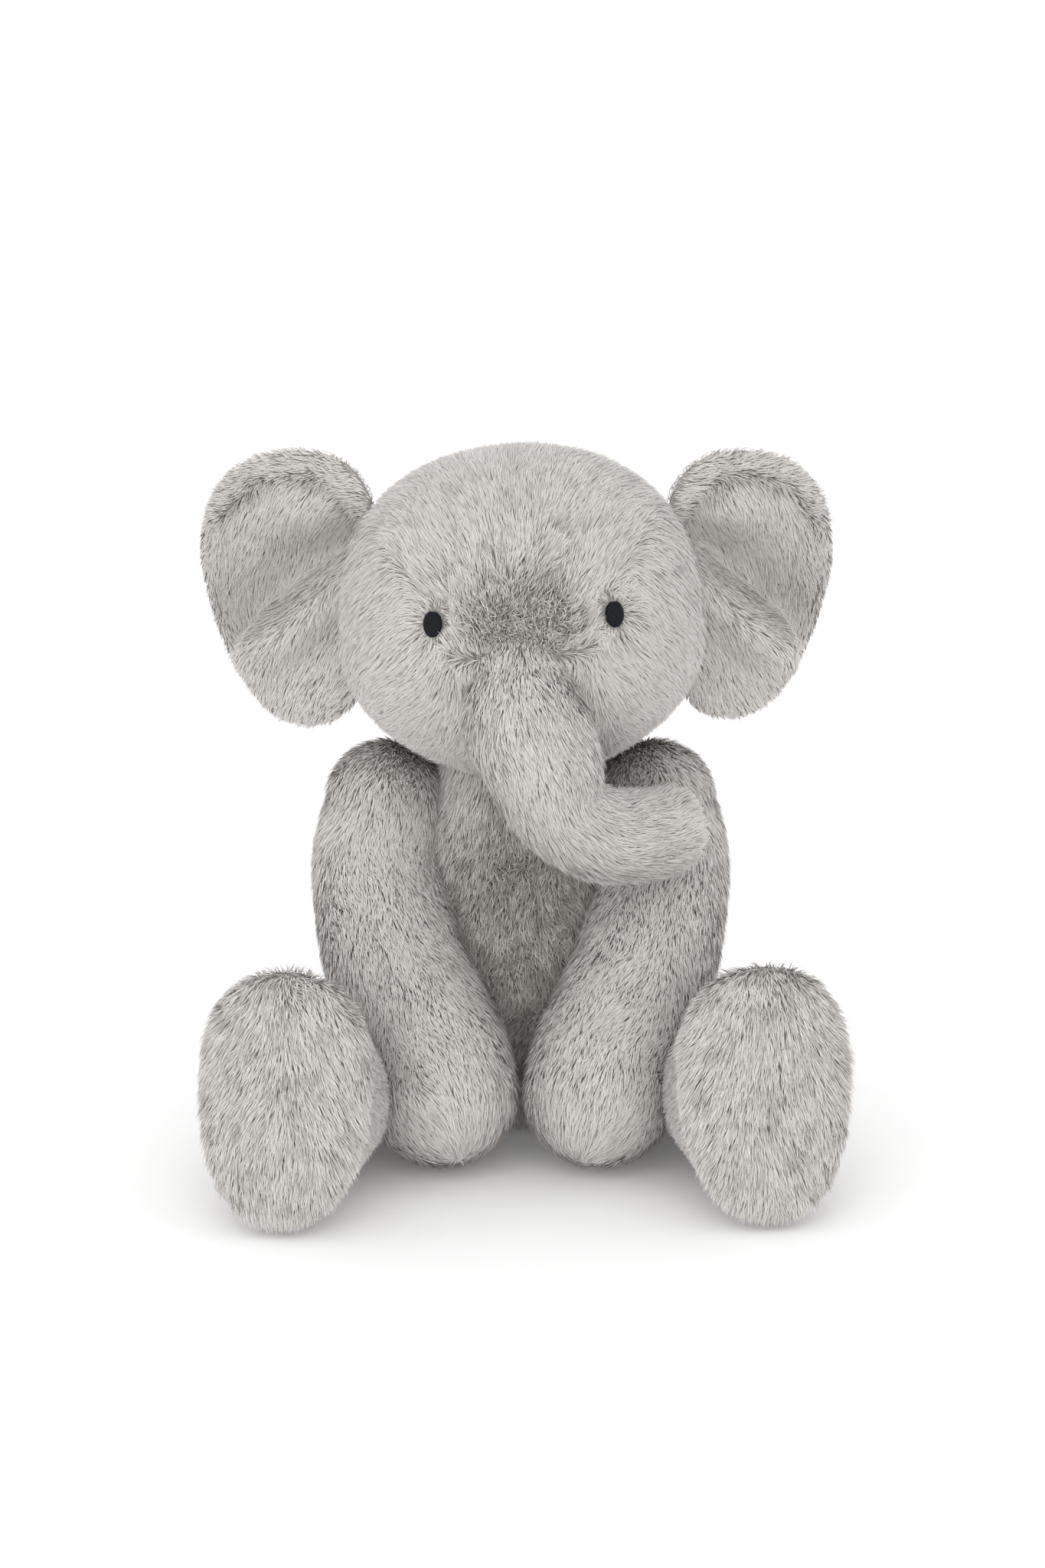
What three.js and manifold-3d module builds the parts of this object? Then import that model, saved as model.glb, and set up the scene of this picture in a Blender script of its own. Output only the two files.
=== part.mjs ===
// A seated plush elephant, sewn from faux-fur panels over stuffing and bean bags.
// Millimetres, +Z up. It faces -Y, and its own left side is +X. The floor it sits on is z = 0.
import * as THREE from 'three';
import { mergeVertices } from 'three/addons/utils/BufferGeometryUtils.js';
import Module from 'manifold-3d';

const wasm = await Module();
wasm.setup();

// ---- driving dimensions -------------------------------------------------------------------

const SKIN = 4; // backing cloth and the dense foot of the pile
const GAP = 0.3; // between any two pieces that touch
const JOINT_GAP = 1.7; // round the ball-shaped roots of limbs and trunk, so that they turn
const FAR = 400; // larger than the whole toy, for cutting boxes

const HEAD = new THREE.Vector3(0, -20, 230.5); // centre, which the head also tilts about
const HEAD_SIZE = new THREE.Vector3(79, 75, 73); // half width, half depth, half height
const HEAD_ROLL = THREE.MathUtils.degToRad(-3.4); // the head leans to its own right
const CHEEK_FULLNESS = 0.16; // how much the cheeks widen below the middle of the head
const HEAD_SWEEP = 76; // radius about the tilt axis that the nodding head needs
const NECK_HOLE = 24; // radius of the opening that joins the head's stuffing to the torso's
const NECK_HOLE_DEPTH = 30;
const GUSSET_STRIP = [[23, 208], [34, 245], [58, 273], [70, 320]]; // half width, height

const TORSO_PROFILE = [ // radius across, height
  [52, 0], [60, 4], [66.5, 16], [69, 40], [65, 70], [57, 98], [49, 125], [42, 148], [38, 170],
];
const TORSO_DEPTH = 0.88; // depth of the pear's cross-section over its width
const SEAT_BAG_TOP = 44;

const SHOULDER = new THREE.Vector3(60, -6, 142.5);
const SHOULDER_PLANE = 44.4; // torso and arm meet on this plane
const SHOULDER_REACH = 50; // the meeting faces lie within this radius of the lifting axis
const ARM = [ // centre, radius front to back, radius across
  { at: SHOULDER.toArray(), a: 27, b: 28 },
  { at: [62.5, -20, 114], a: 27.5, b: 29 },
  { at: [53, -56, 80], a: 29, b: 31 },
  { at: [37.5, -88, 48], a: 32, b: 33 },
  { at: [34, -99, 37], a: 33, b: 33.3 },
];
const PAW_BAG_TOP = 58;

const HIP_RADIUS = 31;
const THIGH = { forward: 40, out: 12, down: 3, a: 32, b: 29 }; // from the hip
const ANKLE = { back: 50, inward: 6, down: 17, a: 36, b: 35 }; // from the foot
const LIMB_OPENING = 15; // radius of the hole where a limb's stuffing meets its neighbour's
const OPENING_LENGTH = 60;
const LEGS = {
  left: { mirrored: false, foot: [99.5, -150, 53.5] },
  right: { mirrored: true, foot: [95.5, -158, 53.5] },
};
const HIP = new THREE.Vector3(70, -18, 34.5);
const ARM_LIFTS = [0, 7, 14]; // degrees at which a lifting arm still brushes past a leg
const TRUNK_REACH = 30; // how far from its root the lifting trunk brushes the face
const TRUNK_SWEEP = 23.5; // radius of the room that the face leaves for it
const TRUNK_SLOPES = [35, 20, 5]; // degrees below level that the face leaves room for
const SOLE = { a: 36, b: 52.5, dome: 13 };
const FOOT_BAG_DEPTH = 42;

const TRUNK_ROOT_RADIUS = 21.5; // the trunk's ball-shaped root sits in a hollow of the face
const TRUNK = [
  { at: [-1, -82, 217], a: TRUNK_ROOT_RADIUS, b: TRUNK_ROOT_RADIUS },
  { at: [0, -95, 200], a: 24.5, b: 24.5 },
  { at: [8, -99, 182], a: 22.5, b: 22.5 },
  { at: [17, -97, 162.5], a: 21.5, b: 21.5 },
  { at: [33, -90, 149.5], a: 21, b: 21 },
  { at: [52, -79, 145.5], a: 20.5, b: 20.5 },
  { at: [63.5, -70, 146], a: 19.5, b: 19.5 },
];
const TRUNK_TIP = 11; // length of the blunt tip's dome

const EAR_THICK = 13;
const EAR_RIM = 3.6;
const EAR_Y = 6;
const EAR_CUP = 11; // how far the rim curls forward of the middle
const EAR_OUTLINE = [ // out from the middle plane, height
  [62, 262], [66, 281], [79, 294], [97, 298.5], [120, 294], [136, 279], [142, 256],
  [139, 228], [130, 203], [112, 178], [91, 170], [72, 181], [66, 215],
];
const EAR_CENTRE = [104, 238];
const EARS = { // each ear's width and height against the outline, measured from its root
  left: { mirrored: false, width: 0.956, height: 0.945 },
  right: { mirrored: true, width: 1, height: 0.973 },
};
const EAR_ROOT = [62, 298];
const EAR_GAP = 4; // room for the ear to fold at its root

const EYES = {
  left: { azimuth: 32.5, elevation: 9.6 },
  right: { azimuth: -30, elevation: 6.6 },
};
const EYE = { halfWidth: 4.6, halfHeight: 5.6, deep: 2.4, proud: 0.5 };
const EYE_POCKET = { longer: 3.6, further: 1.5 }; // how much past the pad its pocket runs

const TAIL = [
  { at: [0, 64, 56], a: 6, b: 6 },
  { at: [0, 73, 46], a: 5.5, b: 5.5 },
  { at: [0, 77, 30], a: 6, b: 6 },
  { at: [0, 78, 19], a: 8, b: 8 },
];
const TAIL_RADIUS = 6;
const LABEL = { width: 14, thick: 0.8, height: 24, tilt: -8, at: [-26, 60, 17] };

// How finely the curved surfaces are faceted.
const LIMB_FACETS = { around: 14, steps: 6, dome: 3 };
const TRUNK_STEPS = 8;
const TAIL_FACETS = { around: 10, steps: 5 };
const HEAD_FACETS = { around: 22, high: 14 };
const TORSO_FACETS = { around: 22, rows: 9 };
const EAR_FACETS = { around: 22, rings: 3 };
const ROD_FACETS = 18;
const EYE_FACETS = 14;

const COLOURS = {
  fur: 0xc9c4bf, sole: 0xcbc7c3, fill: 0xf2f0ec, beans: 0xe6e2da, thread: 0x14161b, label: 0xf6f5f2,
};

// ---- solids from closed meshes ------------------------------------------------------------

function solidOf(geometry) {
  const bare = geometry.clone();
  bare.deleteAttribute('normal');
  bare.deleteAttribute('uv');
  const merged = mergeVertices(bare, 1e-4);
  return new wasm.Manifold(new wasm.Mesh({
    numProp: 3,
    vertProperties: new Float32Array(merged.attributes.position.array),
    triVerts: new Uint32Array(merged.index.array),
  }));
}

// The largest single body of a cut piece: cuts may leave crumbs at their edges.
function largestBody(solid) {
  const bodies = solid.decompose();
  return bodies.reduce((best, body) => (body.volume() > best.volume() ? body : best));
}

// The same shape on the toy's other side, with its faces still pointing out.
function mirroredGeometry(geometry) {
  const other = geometry.clone();
  other.scale(-1, 1, 1);
  const order = other.index.array;
  for (let i = 0; i < order.length; i += 3) [order[i], order[i + 1]] = [order[i + 1], order[i]];
  other.computeVertexNormals();
  return other;
}

function geometryOf(solid) {
  const mesh = largestBody(solid).getMesh();
  const geometry = new THREE.BufferGeometry();
  geometry.setAttribute('position', new THREE.BufferAttribute(mesh.vertProperties, 3));
  geometry.setIndex(new THREE.BufferAttribute(mesh.triVerts, 1));
  geometry.computeVertexNormals();
  return geometry;
}

// A closed skin through a list of rings. A ring of one point is a pole.
function skinRings(rings) {
  const position = [];
  const start = [];
  for (const ring of rings) {
    start.push(position.length / 3);
    for (const p of ring) position.push(p.x, p.y, p.z);
  }
  const index = [];
  for (let i = 0; i + 1 < rings.length; i += 1) {
    const n = rings[i].length;
    const m = rings[i + 1].length;
    for (let j = 0; j < Math.max(n, m); j += 1) {
      const a = start[i] + (j % n);
      const b = start[i] + ((j + 1) % n);
      const c = start[i + 1] + (j % m);
      const d = start[i + 1] + ((j + 1) % m);
      if (n > 1) index.push(a, b, c);
      if (m > 1) index.push(b, d, c);
    }
  }
  const geometry = new THREE.BufferGeometry();
  geometry.setAttribute('position', new THREE.Float32BufferAttribute(position, 3));
  geometry.setIndex(index);
  return geometry;
}

// ---- shapes -------------------------------------------------------------------------------

// A stuffed tube with domed ends, through stations that give a centre and two radii.
// `inset` shrinks it all round, so that skin and stuffing nest inside each other.
function limb(stations, options) {
  const { reference, startDome, endDome, inset = 0 } = options;
  const { around = LIMB_FACETS.around, steps = LIMB_FACETS.steps } = options;
  const spine = new THREE.CatmullRomCurve3(stations.map((s) => new THREE.Vector3(...s.at)));
  const sizes = new THREE.CatmullRomCurve3(stations.map((s) => new THREE.Vector3(s.a, s.b, 0)));
  const domeSteps = LIMB_FACETS.dome;
  const ring = (t, along, scale) => {
    const tangent = spine.getTangent(t);
    const across = new THREE.Vector3().crossVectors(tangent, reference).normalize();
    const other = new THREE.Vector3().crossVectors(tangent, across);
    const centre = spine.getPoint(t).addScaledVector(tangent, along);
    const size = sizes.getPoint(t);
    if (scale < 1e-6) return [centre];
    return Array.from({ length: around }, (_, j) => {
      const angle = (2 * Math.PI * j) / around;
      return centre.clone()
        .addScaledVector(across, (size.x - inset) * scale * Math.cos(angle))
        .addScaledVector(other, (size.y - inset) * scale * Math.sin(angle));
    });
  };
  const rings = [];
  for (let k = 0; k < domeSteps; k += 1) {
    const angle = (Math.PI / 2) * (1 - k / domeSteps);
    rings.push(ring(0, -(startDome - inset) * Math.sin(angle), k === 0 ? 0 : Math.cos(angle)));
  }
  for (let i = 0; i <= steps; i += 1) rings.push(ring(i / steps, 0, 1));
  for (let k = 1; k <= domeSteps; k += 1) {
    const angle = (Math.PI / 2) * (k / domeSteps);
    rings.push(ring(1, (endDome - inset) * Math.sin(angle), k === domeSteps ? 0 : Math.cos(angle)));
  }
  return solidOf(skinRings(rings));
}

function ball(centre, size, around = 20) {
  const geometry = new THREE.SphereGeometry(1, around, Math.round(around * 0.6));
  geometry.rotateX(Math.PI / 2);
  geometry.scale(size.x ?? size, size.y ?? size, size.z ?? size);
  geometry.translate(centre.x, centre.y, centre.z);
  return solidOf(geometry);
}

function rod(from, to, radius) {
  const along = new THREE.Vector3().subVectors(to, from);
  const geometry = new THREE.CylinderGeometry(radius, radius, along.length(), ROD_FACETS);
  const turn = new THREE.Quaternion().setFromUnitVectors(
    new THREE.Vector3(0, 1, 0), along.clone().normalize());
  geometry.applyQuaternion(turn);
  geometry.translate(...new THREE.Vector3().addVectors(from, to).multiplyScalar(0.5));
  return solidOf(geometry);
}

function block(low, high) {
  const size = new THREE.Vector3().subVectors(high, low);
  const geometry = new THREE.BoxGeometry(size.x, size.y, size.z);
  geometry.translate(...new THREE.Vector3().addVectors(low, high).multiplyScalar(0.5));
  return solidOf(geometry);
}

// Everything on one side of a plane at right angles to an axis.
function beyond(axis, from, direction) {
  const low = new THREE.Vector3(-FAR, -FAR, -FAR);
  const high = new THREE.Vector3(FAR, FAR, FAR);
  (direction > 0 ? low : high)[axis] = from;
  return block(low, high);
}

// A solid joined with itself as it lifts about an axis that runs across the toy.
function swept(solid, [x, y, z], lifts) {
  const turned = lifts.map((lift) => {
    const turn = new THREE.Matrix4().makeTranslation(x, y, z)
      .multiply(new THREE.Matrix4().makeRotationX(-THREE.MathUtils.degToRad(lift)))
      .multiply(new THREE.Matrix4().makeTranslation(-x, -y, -z));
    return solidOf(geometryOf(solid).applyMatrix4(turn));
  });
  return turned.reduce((all, part) => all.add(part));
}

function headSolid(inset) {
  const geometry = new THREE.SphereGeometry(1, HEAD_FACETS.around, HEAD_FACETS.high);
  geometry.rotateX(Math.PI / 2);
  const position = geometry.attributes.position;
  for (let i = 0; i < position.count; i += 1) {
    const low = Math.max(0, -position.getZ(i));
    position.setX(i, position.getX(i) * (1 + CHEEK_FULLNESS * low * (1 - low ** 2)));
  }
  geometry.scale(...HEAD_SIZE.clone().subScalar(inset));
  geometry.translate(...HEAD);
  return solidOf(geometry);
}

function rolled(geometry) {
  geometry.translate(-HEAD.x, -HEAD.y, -HEAD.z);
  geometry.rotateY(-HEAD_ROLL);
  geometry.translate(HEAD.x, HEAD.y, HEAD.z);
  return geometry;
}

function torsoSolid(inset, floor = 0) {
  const curve = new THREE.SplineCurve(TORSO_PROFILE.map(([r, z]) => new THREE.Vector2(r, z)));
  const rows = curve.getPoints(TORSO_FACETS.rows)
    .map((p) => new THREE.Vector2(p.x - inset, Math.max(p.y, floor)));
  const top = rows[rows.length - 1].y;
  const profile = [new THREE.Vector2(0, floor), ...rows, new THREE.Vector2(0, top)];
  const geometry = new THREE.LatheGeometry(profile, TORSO_FACETS.around);
  geometry.rotateX(Math.PI / 2);
  geometry.scale(1, TORSO_DEPTH, 1);
  return solidOf(geometry);
}

// The wedge-shaped strip over the top of the head, between the ears and down to the trunk.
function gussetSolid(grow) {
  const half = GUSSET_STRIP.map(([x, z]) => new THREE.Vector2(x + grow, z));
  half[0].y -= grow;
  const other = half.map((p) => new THREE.Vector2(-p.x, p.y)).reverse();
  const geometry = new THREE.ExtrudeGeometry(new THREE.Shape([...half, ...other]), {
    depth: FAR, bevelEnabled: false,
  });
  geometry.rotateX(Math.PI / 2);
  geometry.translate(0, FAR / 2, 0);
  return solidOf(rolled(geometry));
}

function armSolid(inset) {
  return limb(ARM, {
    reference: new THREE.Vector3(1, 0, 0), startDome: 27, endDome: 33, inset,
  });
}

function legSolid({ foot }, inset) {
  const [x, y, z] = foot;
  const thigh = [HIP.x + THIGH.out, HIP.y - THIGH.forward, HIP.z - THIGH.down];
  const ankle = [x - ANKLE.inward, y + ANKLE.back, z - ANKLE.down];
  const stations = [
    { at: HIP.toArray(), a: HIP_RADIUS, b: HIP_RADIUS },
    { at: thigh, a: THIGH.a, b: THIGH.b },
    { at: ankle, a: ANKLE.a, b: ANKLE.b },
    { at: foot, a: SOLE.a, b: SOLE.b },
  ];
  return limb(stations, {
    reference: new THREE.Vector3(0, 0, 1), startDome: HIP_RADIUS, endDome: SOLE.dome, inset,
  });
}

function trunkSolid(inset) {
  return limb(TRUNK, {
    reference: new THREE.Vector3(0, 1, 0),
    startDome: TRUNK_ROOT_RADIUS,
    endDome: TRUNK_TIP,
    inset,
    steps: TRUNK_STEPS,
  });
}

// One half of an ear's thickness, from the middle surface to the front (-1) or the back (+1).
function earHalf(face, { width, height }) {
  const [rootX, rootZ] = EAR_ROOT;
  const place = ([x, z]) => new THREE.Vector3(
    rootX + (x - rootX) * width, 0, rootZ + (z - rootZ) * height);
  const centre = place(EAR_CENTRE);
  const outline = new THREE.CatmullRomCurve3(EAR_OUTLINE.map(place), true);
  const rim = outline.getPoints(EAR_FACETS.around).slice(0, -1);
  const { rings } = EAR_FACETS;
  const middleY = (reach) => EAR_Y - EAR_CUP * reach ** 2;
  const thickness = (reach) => {
    const bulge = Math.sqrt(1 - reach ** 4);
    return EAR_RIM / 2 + (EAR_THICK / 2 - EAR_RIM / 2) * bulge;
  };
  const layer = (k, outer) => {
    const reach = k / rings;
    const y = middleY(reach) + face * (outer ? thickness(reach) : GAP / 2);
    const inner = centre.clone().setY(y);
    if (k === 0) return [inner];
    return rim.map((p) => inner.clone().lerp(p.clone().setY(y), reach));
  };
  const layers = [];
  for (let k = 0; k <= rings; k += 1) layers.push(layer(k, face < 0));
  for (let k = rings; k >= 0; k -= 1) layers.push(layer(k, face > 0));
  return solidOf(skinRings(layers)).subtract(headSolid(-EAR_GAP));
}

function tailSolid() {
  return limb(TAIL, {
    reference: new THREE.Vector3(1, 0, 0),
    startDome: TAIL_RADIUS,
    endDome: TAIL[TAIL.length - 1].a,
    ...TAIL_FACETS,
  });
}

// The stitched pad of an eye, or the pocket in the pile that it lies in.
function eyeSolid({ azimuth, elevation }, pocket = false) {
  const az = THREE.MathUtils.degToRad(azimuth);
  const el = THREE.MathUtils.degToRad(elevation);
  const ray = new THREE.Vector3(
    Math.sin(az) * Math.cos(el), -Math.cos(az) * Math.cos(el), Math.sin(el));
  const reach = 1 / ray.clone().divide(HEAD_SIZE).length();
  const surface = ray.clone().multiplyScalar(reach);
  const normal = surface.clone().divide(HEAD_SIZE).divide(HEAD_SIZE).normalize();
  const grow = pocket ? GAP : 0;
  const length = EYE.deep + (pocket ? EYE_POCKET.longer : 0);
  const middle = EYE.proud - EYE.deep / 2 + (pocket ? EYE_POCKET.further : 0);
  const geometry = new THREE.CylinderGeometry(1, 1, length, EYE_FACETS);
  geometry.scale(EYE.halfWidth + grow, 1, EYE.halfHeight + grow);
  geometry.translate(0, middle, 0);
  const up = new THREE.Vector3(0, 0, 1).projectOnPlane(normal).normalize();
  const across = new THREE.Vector3().crossVectors(normal, up);
  geometry.applyMatrix4(new THREE.Matrix4().makeBasis(across, normal, up));
  geometry.translate(...surface.add(HEAD));
  return solidOf(geometry);
}

// ---- the pieces ---------------------------------------------------------------------------

const elephant = new THREE.Group();

function addPiece(name, solid, colour, { mirrored = false, roughness = 0.9 } = {}) {
  const geometry = mirrored ? mirroredGeometry(geometryOf(solid)) : geometryOf(solid);
  const material = new THREE.MeshStandardMaterial({ color: colour, roughness, metalness: 0 });
  const mesh = new THREE.Mesh(geometry, material);
  mesh.name = name;
  elephant.add(mesh);
}

const headOuter = headSolid(0);
const headShell = headOuter.subtract(headSolid(SKIN));
const torsoOuter = torsoSolid(0);

// What the torso leaves free: the nodding head, the lifting arms, the splaying legs, the tail.
function torsoSockets() {
  const shoulderReach = (side) => rod(
    new THREE.Vector3(side * (SHOULDER_PLANE - GAP / 2), SHOULDER.y, SHOULDER.z),
    new THREE.Vector3(side * FAR, SHOULDER.y, SHOULDER.z), SHOULDER_REACH);
  const rightLeg = solidOf(mirroredGeometry(geometryOf(legSolid(LEGS.right, -JOINT_GAP))));
  const hips = legSolid(LEGS.left, -JOINT_GAP).add(rightLeg);
  const tailRoot = ball(new THREE.Vector3(...TAIL[0].at), TAIL_RADIUS + 2 * GAP, 10);
  const head = ball(HEAD, new THREE.Vector3(HEAD_SIZE.x + 2 * GAP, HEAD_SWEEP, HEAD_SWEEP), 22);
  return [head, shoulderReach(1), shoulderReach(-1), hips, tailRoot]
    .reduce((all, cutter) => all.add(cutter));
}

function addTorso() {
  const sockets = torsoSockets();
  const skin = torsoOuter.subtract(torsoSolid(SKIN)).subtract(sockets)
    .intersect(beyond('z', SKIN + GAP, 1));
  addPiece('torso_front_panel', skin.intersect(beyond('y', -GAP / 2, -1)), COLOURS.fur);
  addPiece('torso_back_panel', skin.intersect(beyond('y', GAP / 2, 1)), COLOURS.fur);
  const seat = torsoOuter.intersect(beyond('z', SKIN, -1)).subtract(sockets);
  addPiece('seat_panel', seat, COLOURS.fur);
  const inside = torsoSolid(SKIN + GAP, SKIN + GAP).subtract(sockets);
  addPiece('torso_stuffing', inside.intersect(beyond('z', SEAT_BAG_TOP + GAP, 1)), COLOURS.fill);
  addPiece('seat_bean_bag', inside.intersect(beyond('z', SEAT_BAG_TOP, -1)), COLOURS.beans);
}

function addHead() {
  const root = new THREE.Vector3(...TRUNK[0].at);
  const trunkRoom = TRUNK_SLOPES.reduce((room, slope) => {
    const angle = THREE.MathUtils.degToRad(slope);
    const forward = new THREE.Vector3(0, -Math.cos(angle), -Math.sin(angle));
    return room.add(rod(root, forward.multiplyScalar(TRUNK_REACH).add(root), TRUNK_SWEEP));
  }, trunkSolid(-JOINT_GAP));
  const chin = new THREE.Vector3(HEAD.x, HEAD.y, HEAD.z - HEAD_SIZE.z);
  const neckHole = rod(
    chin.clone().setZ(chin.z - SKIN), chin.clone().setZ(chin.z + NECK_HOLE_DEPTH), NECK_HOLE);
  let skin = headShell.subtract(trunkRoom).subtract(neckHole);
  for (const eye of Object.values(EYES)) skin = skin.subtract(eyeSolid(eye, true));
  addPiece('head_gusset', skin.intersect(gussetSolid(0)), COLOURS.fur);
  const cheeks = skin.subtract(gussetSolid(GAP));
  addPiece('left_cheek_panel', cheeks.intersect(beyond('x', GAP / 2, 1)), COLOURS.fur);
  addPiece('right_cheek_panel', cheeks.intersect(beyond('x', -GAP / 2, -1)), COLOURS.fur);
  addPiece('head_stuffing', headSolid(SKIN + GAP).subtract(trunkRoom), COLOURS.fill);
  for (const [side, eye] of Object.entries(EYES)) {
    addPiece(`${side}_eye`, eyeSolid(eye), COLOURS.thread, { roughness: 0.75 });
  }
}

function addTrunk() {
  const root = new THREE.Vector3(...TRUNK[0].at);
  const opening = rod(root, root.clone().setY(root.y + OPENING_LENGTH), LIMB_OPENING);
  addPiece('trunk_skin', trunkSolid(0).subtract(trunkSolid(SKIN)).subtract(opening), COLOURS.fur);
  addPiece('trunk_stuffing', trunkSolid(SKIN + GAP), COLOURS.fill);
}

function addEars() {
  for (const [side, ear] of Object.entries(EARS)) {
    addPiece(`${side}_ear_front`, earHalf(-1, ear), COLOURS.fur, ear);
    addPiece(`${side}_ear_back`, earHalf(1, ear), COLOURS.fur, ear);
  }
}

function addArms() {
  const reach = rod(
    new THREE.Vector3(-FAR, SHOULDER.y, SHOULDER.z),
    new THREE.Vector3(SHOULDER_PLANE + GAP / 2, SHOULDER.y, SHOULDER.z), SHOULDER_REACH + GAP);
  const legRoom = legSolid(LEGS.left, -JOINT_GAP).add(legSolid(LEGS.right, -JOINT_GAP));
  const clear = torsoSolid(-2 * GAP).add(reach)
    .add(swept(legRoom, SHOULDER.toArray(), ARM_LIFTS.map((lift) => -lift)));
  const skin = armSolid(0).subtract(armSolid(SKIN)).subtract(clear);
  const inside = armSolid(SKIN + GAP).subtract(clear);
  for (const [side, mirrored] of [['left', false], ['right', true]]) {
    addPiece(`${side}_arm_skin`, skin, COLOURS.fur, { mirrored });
    addPiece(`${side}_arm_stuffing`, inside.intersect(beyond('z', PAW_BAG_TOP + GAP, 1)),
      COLOURS.fill, { mirrored });
    addPiece(`${side}_paw_bean_bag`, inside.intersect(beyond('z', PAW_BAG_TOP, -1)),
      COLOURS.beans, { mirrored });
  }
}

function addLegs() {
  const opening = rod(HIP, HIP.clone().setX(HIP.x - OPENING_LENGTH), LIMB_OPENING);
  for (const [side, leg] of Object.entries(LEGS)) {
    const { mirrored } = leg;
    const soleY = leg.foot[1];
    const shell = legSolid(leg, 0).subtract(legSolid(leg, SKIN)).subtract(opening);
    const inside = legSolid(leg, SKIN + GAP);
    const bagY = soleY + FOOT_BAG_DEPTH;
    addPiece(`${side}_leg_skin`, shell.intersect(beyond('y', soleY + GAP, 1)),
      COLOURS.fur, { mirrored });
    addPiece(`${side}_sole_panel`, shell.intersect(beyond('y', soleY, -1)),
      COLOURS.sole, { mirrored });
    addPiece(`${side}_leg_stuffing`, inside.intersect(beyond('y', bagY + GAP, 1)),
      COLOURS.fill, { mirrored });
    addPiece(`${side}_foot_bean_bag`, inside.intersect(beyond('y', bagY, -1)),
      COLOURS.beans, { mirrored });
  }
}

function addTail() {
  addPiece('tail', tailSolid(), COLOURS.fur);
}

// A blank woven care label, sewn beside the tail into the seam of the seat.
function addCareLabel() {
  const geometry = new THREE.BoxGeometry(LABEL.width, LABEL.thick, LABEL.height);
  geometry.rotateX(THREE.MathUtils.degToRad(LABEL.tilt));
  geometry.translate(...LABEL.at);
  addPiece('care_label', solidOf(geometry), COLOURS.label, { roughness: 0.6 });
}

addTorso();
addHead();
addTrunk();
addEars();
addArms();
addLegs();
addTail();
addCareLabel();

export default elephant;
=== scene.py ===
# The looks of a seated plush elephant: backing cloth, faux-fur pile, stitched eyes and trims,
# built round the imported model. Lengths are in millimetres until they go into a mesh.
import math

import bmesh
import bpy
import numpy as np
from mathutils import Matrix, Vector


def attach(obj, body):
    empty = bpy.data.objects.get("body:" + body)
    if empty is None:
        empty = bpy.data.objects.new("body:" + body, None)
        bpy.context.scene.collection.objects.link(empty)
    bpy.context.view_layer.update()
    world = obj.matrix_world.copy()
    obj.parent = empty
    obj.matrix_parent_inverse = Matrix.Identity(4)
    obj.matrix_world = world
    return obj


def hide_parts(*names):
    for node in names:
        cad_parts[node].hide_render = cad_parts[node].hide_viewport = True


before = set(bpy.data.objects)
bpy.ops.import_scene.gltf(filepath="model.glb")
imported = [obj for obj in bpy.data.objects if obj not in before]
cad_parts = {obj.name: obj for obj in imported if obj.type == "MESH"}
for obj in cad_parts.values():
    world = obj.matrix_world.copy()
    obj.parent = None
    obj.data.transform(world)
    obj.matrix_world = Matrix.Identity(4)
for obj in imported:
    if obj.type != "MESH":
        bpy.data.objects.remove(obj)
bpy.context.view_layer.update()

MM = 0.001  # metres in a millimetre

# ---- shapes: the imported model's, with fuller feet, a fuller trunk root and a higher neck ---

HEAD = np.array([0.0, -20.0, 230.5])  # the middle of the head
HEAD_SIZE = np.array([79.0, 75.0, 73.0])  # half its width, depth and height
HEAD_ROLL = math.radians(3.4)  # how far it leans to one side
CHEEK_FULLNESS = 0.16  # how much the head widens low down
CROWN_FULLNESS = 0.035  # how much the crown fills out towards the ears
TORSO_PROFILE = [  # radius and height, from the middle of the seat to the top of the neck
    (0, 0), (30, 0), (52, 0), (60, 4), (66.5, 16), (69, 40), (65, 70), (57, 98), (49, 125), (42, 148),
    (39, 164), (38.4, 171), (34.5, 176), (20, 178), (0, 178),
]
TORSO_DEPTH = 0.88  # the torso's depth, as a part of its width
HIP = np.array([70.0, -18.0, 34.5])
HIP_RADIUS = 31
THIGH_STEP, THIGH_SIZE = np.array([12, -40, -3]), (32, 29)  # from the hip, and half its section
ANKLE_STEP, ANKLE_SIZE = np.array([-6, 50, -17]), (37, 35.6)  # from the foot, and half its section
SOLE_WIDTH, SOLE_HEIGHT, SOLE_DOME = 36.0, 54.5, 13.0
FOOT_CORNERS, FOOT_EGG, FOOT_INNER = 0.06, 0.09, 0.08  # parts by which the foot fills out
FEET = {"left": np.array([103.0, -150.0, 55.0]), "right": np.array([99.0, -158.0, 55.0])}
DOME_SHARE = 0.2  # the part of a limb's v that each end's dome takes
SOLE_V = 0.8  # where the sole starts along the leg's v
ARM = [  # a limb's stations: the middle, and half the section's two widths
    ((59, -6, 142), 27.4, 28), ((63.5, -20, 114), 28, 29.4), ((54.5, -56, 80), 29.4, 31.8),
    ((37.5, -88, 48), 32, 33), ((34, -99, 37), 33, 33.3),
]
TRUNK = [
    ((-1, -82, 217), 21.5, 21.5), ((2, -95, 200), 27, 25), ((9.5, -99, 182), 25.5, 23.5),
    ((17, -97, 162.5), 21.5, 21.5), ((33, -90, 149.5), 21, 21), ((52, -79, 145.5), 20.5, 20.5),
    ((63.5, -70, 146), 19.5, 19.5),
]
TRUNK_TIP = 11.0  # the length of the dome at the trunk's tip
ARM_DOMES = (27, 33)  # the lengths of the domes at the shoulder and the paw
TAIL = [((0, 64, 56), 6, 6), ((0, 73, 46), 5.5, 5.5), ((0, 77, 30), 6, 6), ((0, 78, 19), 8, 8)]
TAIL_DOMES = (6, 8)
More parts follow.
